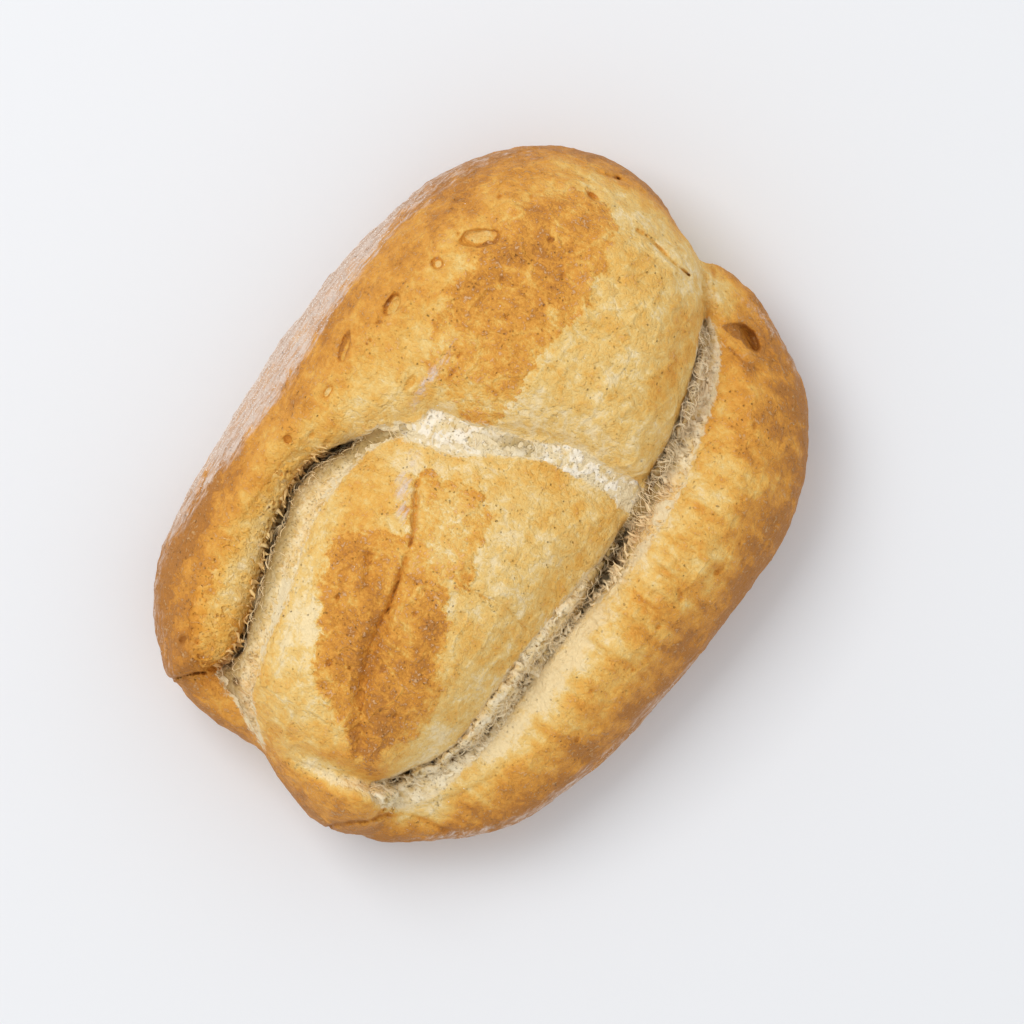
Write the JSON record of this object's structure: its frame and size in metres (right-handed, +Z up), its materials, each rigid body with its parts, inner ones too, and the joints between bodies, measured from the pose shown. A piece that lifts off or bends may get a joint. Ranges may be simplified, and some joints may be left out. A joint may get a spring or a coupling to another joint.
{
  "type": "hard dough bread loaf",
  "caption": "Round free-form loaf of hard dough bread, burst along its seam: a tall head, a raised middle and a side crescent with crumb-lined tears between, on a flat base.",
  "frame": {"origin": "centre of the loaf's bounding box at the flat base it rests on", "axes": "+X along the loaf's length towards the tall head, +Y towards the long rim that runs on from the head, +Z up"},
  "size_m": [0.212, 0.1574, 0.078],
  "materials": {
    "crust": "dry baked crust, golden to brown, floured along the edge, pale open crumb in the tears"
  },
  "bodies": {
    "root": {"loaf": "crust"}
  },
  "joints": []
}
